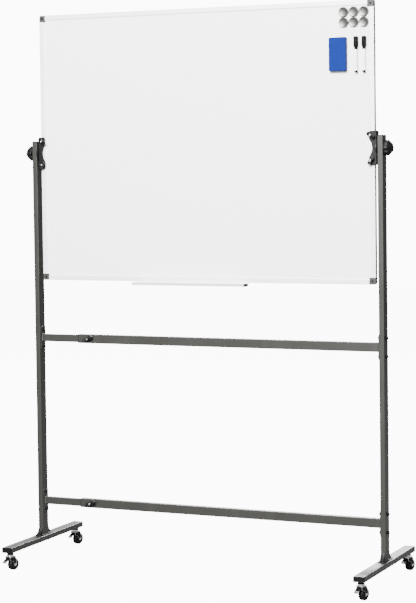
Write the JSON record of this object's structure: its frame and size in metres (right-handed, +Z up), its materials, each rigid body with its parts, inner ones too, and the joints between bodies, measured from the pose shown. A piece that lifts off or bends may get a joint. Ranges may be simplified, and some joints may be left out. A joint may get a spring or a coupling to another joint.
{
  "type": "rolling whiteboard",
  "caption": "Double-sided magnetic whiteboard that flips end over end in a dark steel stand on braked swivel casters, with a pen tray, eraser, markers and magnets.",
  "frame": {"origin": "on the floor under the middle of the stand", "axes": "+Z up, +X across the width to the right as seen from the tray side, -Y towards a person at the tray side"},
  "size_m": [1.3126, 0.5257, 1.862],
  "materials": {
    "frame_paint": "dark charcoal powder coat, satin",
    "clamp_paint": "black powder coat, satin",
    "black_plastic": "moulded, fine texture",
    "wing_plastic": "moulded wing on a bright screw",
    "black_steel": "black oxide",
    "bright_steel": "zinc plated",
    "wheel_rubber": "matt",
    "pad_rubber": "matt",
    "aluminium_rail": "satin anodised",
    "grey_plastic": "moulded",
    "whiteboard_lacquer": "gloss lacquer",
    "panel_core": "honeycomb",
    "magnet_silver": "silver grey moulded",
    "eraser_felt": "blue foam and felt",
    "marker_white": "gloss",
    "marker_black": "gloss"
  },
  "bodies": {
    "stand": {"upright_left": "frame_paint", "upright_right": "frame_paint", "foot_left": "frame_paint", "foot_right": "frame_paint", "tube_end_caps": "black_plastic", "foot_shoes": "frame_paint", "foot_bolts": "black_steel", "crossbar_outer_upper": "frame_paint", "crossbar_outer_lower": "frame_paint", "crossbar_inner_upper": "frame_paint", "crossbar_inner_lower": "frame_paint", "crossbar_sleeves": "black_plastic", "crossbar_lock_nuts": "frame_paint", "crossbar_flanges": "frame_paint", "flange_bolts": "black_steel", "flange_nuts": "bright_steel", "pivot_bushes": "black_plastic", "caster_sockets": "frame_paint", "caster_stems": "bright_steel"},
    "board": {"board_core": "panel_core", "writing_sheet_front": "whiteboard_lacquer", "writing_sheet_back": "whiteboard_lacquer", "frame_rail_top": "aluminium_rail", "frame_rail_bottom": "aluminium_rail", "frame_rail_left": "aluminium_rail", "frame_rail_right": "aluminium_rail", "frame_corners": "grey_plastic", "frame_screws": "bright_steel", "pen_tray": "aluminium_rail", "tray_end_caps": "grey_plastic", "edge_clamp_left": "clamp_paint", "edge_clamp_right": "clamp_paint", "clamp_pads": "pad_rubber", "pivot_bolts": "bright_steel", "magnets": "magnet_silver"},
    "knob_left": {"knob_left": "black_plastic"},
    "clamp_screw_left_upper": {"clamp_screw_left_upper": "wing_plastic"},
    "clamp_screw_left_lower": {"clamp_screw_left_lower": "wing_plastic"},
    "knob_right": {"knob_right": "black_plastic"},
    "clamp_screw_right_upper": {"clamp_screw_right_upper": "wing_plastic"},
    "clamp_screw_right_lower": {"clamp_screw_right_lower": "wing_plastic"},
    "crossbar_screw_upper": {"crossbar_screw_upper": "wing_plastic"},
    "crossbar_screw_lower": {"crossbar_screw_lower": "wing_plastic"},
    "caster_front_left": {"caster_fork_front_left": "bright_steel"},
    "wheel_front_left": {"caster_wheel_front_left": "wheel_rubber"},
    "pedal_front_left": {"caster_pedal_front_left": "bright_steel"},
    "caster_front_right": {"caster_fork_front_right": "bright_steel"},
    "wheel_front_right": {"caster_wheel_front_right": "wheel_rubber"},
    "pedal_front_right": {"caster_pedal_front_right": "bright_steel"},
    "caster_back_left": {"caster_fork_back_left": "bright_steel"},
    "wheel_back_left": {"caster_wheel_back_left": "wheel_rubber"},
    "pedal_back_left": {"caster_pedal_back_left": "bright_steel"},
    "caster_back_right": {"caster_fork_back_right": "bright_steel"},
    "wheel_back_right": {"caster_wheel_back_right": "wheel_rubber"},
    "pedal_back_right": {"caster_pedal_back_right": "bright_steel"},
    "eraser": {"eraser": "eraser_felt"},
    "marker_left": {"marker_left": "marker_white"},
    "marker_cap_left": {"marker_cap_left": "marker_black"},
    "marker_right": {"marker_right": "marker_white"},
    "marker_cap_right": {"marker_cap_right": "marker_black"}
  },
  "joints": [
    {"name": "board_flip", "type": "hinge", "parent": "stand", "child": "board", "pos_m": [0, 0, 1.395], "axis": [1, 0, 0], "continuous": true},
    {"name": "knob_left_turn", "type": "hinge", "parent": "board", "child": "knob_left", "pos_m": [-0.64, 0, 1.395], "axis": [-1, 0, 0], "range_deg": [0, 360]},
    {"name": "clamp_screw_left_upper_turn", "type": "hinge", "parent": "board", "child": "clamp_screw_left_upper", "pos_m": [-0.5905, -0.02, 1.435], "axis": [0, -1, 0], "range_deg": [0, 360]},
    {"name": "clamp_screw_left_lower_turn", "type": "hinge", "parent": "board", "child": "clamp_screw_left_lower", "pos_m": [-0.5905, -0.02, 1.355], "axis": [0, -1, 0], "range_deg": [0, 360]},
    {"name": "knob_right_turn", "type": "hinge", "parent": "board", "child": "knob_right", "pos_m": [0.64, 0, 1.395], "axis": [1, 0, 0], "range_deg": [0, 360]},
    {"name": "clamp_screw_right_upper_turn", "type": "hinge", "parent": "board", "child": "clamp_screw_right_upper", "pos_m": [0.5905, -0.02, 1.435], "axis": [0, -1, 0], "range_deg": [0, 360]},
    {"name": "clamp_screw_right_lower_turn", "type": "hinge", "parent": "board", "child": "clamp_screw_right_lower", "pos_m": [0.5905, -0.02, 1.355], "axis": [0, -1, 0], "range_deg": [0, 360]},
    {"name": "crossbar_screw_upper_turn", "type": "hinge", "parent": "stand", "child": "crossbar_screw_upper", "pos_m": [-0.428, -0.02, 0.763], "axis": [0, -1, 0], "range_deg": [0, 360]},
    {"name": "crossbar_screw_lower_turn", "type": "hinge", "parent": "stand", "child": "crossbar_screw_lower", "pos_m": [-0.428, -0.02, 0.2], "axis": [0, -1, 0], "range_deg": [0, 360]},
    {"name": "caster_front_left_swivel", "type": "hinge", "parent": "stand", "child": "caster_front_left", "pos_m": [-0.621, -0.23, 0.048], "axis": [0, 0, 1], "continuous": true},
    {"name": "wheel_front_left_roll", "type": "hinge", "parent": "caster_front_left", "child": "wheel_front_left", "pos_m": [-0.61764, -0.21744, 0.02], "axis": [0.9659, -0.2588, 0], "continuous": true},
    {"name": "pedal_front_left_press", "type": "hinge", "parent": "caster_front_left", "child": "pedal_front_left", "pos_m": [-0.62307, -0.23773, 0.038], "axis": [0.9659, -0.2588, 0], "range_deg": [0, 16]},
    {"name": "caster_front_right_swivel", "type": "hinge", "parent": "stand", "child": "caster_front_right", "pos_m": [0.621, -0.23, 0.048], "axis": [0, 0, 1], "continuous": true},
    {"name": "wheel_front_right_roll", "type": "hinge", "parent": "caster_front_right", "child": "wheel_front_right", "pos_m": [0.62436, -0.21744, 0.02], "axis": [0.9659, -0.2588, 0], "continuous": true},
    {"name": "pedal_front_right_press", "type": "hinge", "parent": "caster_front_right", "child": "pedal_front_right", "pos_m": [0.61893, -0.23773, 0.038], "axis": [0.9659, -0.2588, 0], "range_deg": [0, 16]},
    {"name": "caster_back_left_swivel", "type": "hinge", "parent": "stand", "child": "caster_back_left", "pos_m": [-0.621, 0.23, 0.048], "axis": [0, 0, 1], "continuous": true},
    {"name": "wheel_back_left_roll", "type": "hinge", "parent": "caster_back_left", "child": "wheel_back_left", "pos_m": [-0.61764, 0.24256, 0.02], "axis": [0.9659, -0.2588, 0], "continuous": true},
    {"name": "pedal_back_left_press", "type": "hinge", "parent": "caster_back_left", "child": "pedal_back_left", "pos_m": [-0.62307, 0.22227, 0.038], "axis": [0.9659, -0.2588, 0], "range_deg": [0, 16]},
    {"name": "caster_back_right_swivel", "type": "hinge", "parent": "stand", "child": "caster_back_right", "pos_m": [0.621, 0.23, 0.048], "axis": [0, 0, 1], "continuous": true},
    {"name": "wheel_back_right_roll", "type": "hinge", "parent": "caster_back_right", "child": "wheel_back_right", "pos_m": [0.62436, 0.24256, 0.02], "axis": [0.9659, -0.2588, 0], "continuous": true},
    {"name": "pedal_back_right_press", "type": "hinge", "parent": "caster_back_right", "child": "pedal_back_right", "pos_m": [0.61893, 0.22227, 0.038], "axis": [0.9659, -0.2588, 0], "range_deg": [0, 16]},
    {"name": "eraser_lift", "type": "slide", "parent": "board", "child": "eraser", "axis": [0, -1, 0], "range_m": [0, 0.06]},
    {"name": "marker_left_lift", "type": "slide", "parent": "board", "child": "marker_left", "axis": [0, -1, 0], "range_m": [0, 0.06]},
    {"name": "marker_cap_left_pull", "type": "slide", "parent": "marker_left", "child": "marker_cap_left", "axis": [0, 0, 1], "range_m": [0, 0.012]},
    {"name": "marker_right_lift", "type": "slide", "parent": "board", "child": "marker_right", "axis": [0, -1, 0], "range_m": [0, 0.06]},
    {"name": "marker_cap_right_pull", "type": "slide", "parent": "marker_right", "child": "marker_cap_right", "axis": [0, 0, 1], "range_m": [0, 0.012]}
  ]
}
